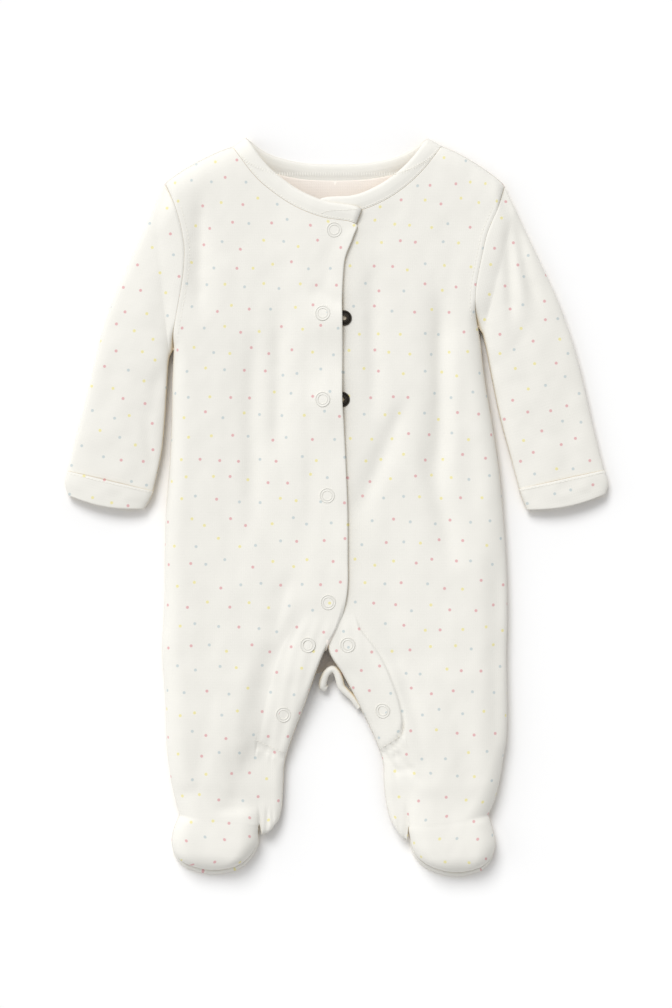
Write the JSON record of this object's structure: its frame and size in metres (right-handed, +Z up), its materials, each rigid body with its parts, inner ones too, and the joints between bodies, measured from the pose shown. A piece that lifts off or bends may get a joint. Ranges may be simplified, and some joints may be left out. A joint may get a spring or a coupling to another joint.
{
  "type": "footed baby sleepsuit",
  "caption": "Long-sleeved footed baby sleepsuit laid flat, with a bound round neck, turned cuffs and a snap front that runs down both inner legs.",
  "frame": {"origin": "centre of the outline, on the surface that the sleepsuit lies on", "axes": "+Y towards the neck, +X towards the wearer's left, +Z up from the surface, out of the front"},
  "size_m": [0.3672, 0.4986, 0.021],
  "materials": {
    "cloth": "matt cream interlock cotton with a small scattered dot print in pink, lemon and pale grey-blue",
    "binding": "plain cream folded rib",
    "snap_cap": "smooth off-white painted ring",
    "snap_socket": "dark gunmetal, lightly polished"
  },
  "bodies": {
    "root": {"back_panel": "cloth", "front_right": "cloth", "front_left": "cloth", "sleeve_right": "cloth", "sleeve_left": "cloth", "cuff_right": "cloth", "cuff_left": "cloth", "sole_right": "cloth", "sole_left": "cloth", "neck_binding": "binding", "crotch_gather": "binding", "snap_front_1": "snap_cap", "snap_front_2": "snap_cap", "snap_front_3": "snap_cap", "snap_front_4": "snap_cap", "snap_front_5": "snap_cap", "snap_leg_right_1": "snap_cap", "snap_leg_right_2": "snap_cap", "snap_leg_left_1": "snap_cap", "snap_leg_left_2": "snap_cap", "snap_socket_1": "snap_socket", "snap_socket_2": "snap_socket"}
  },
  "joints": []
}
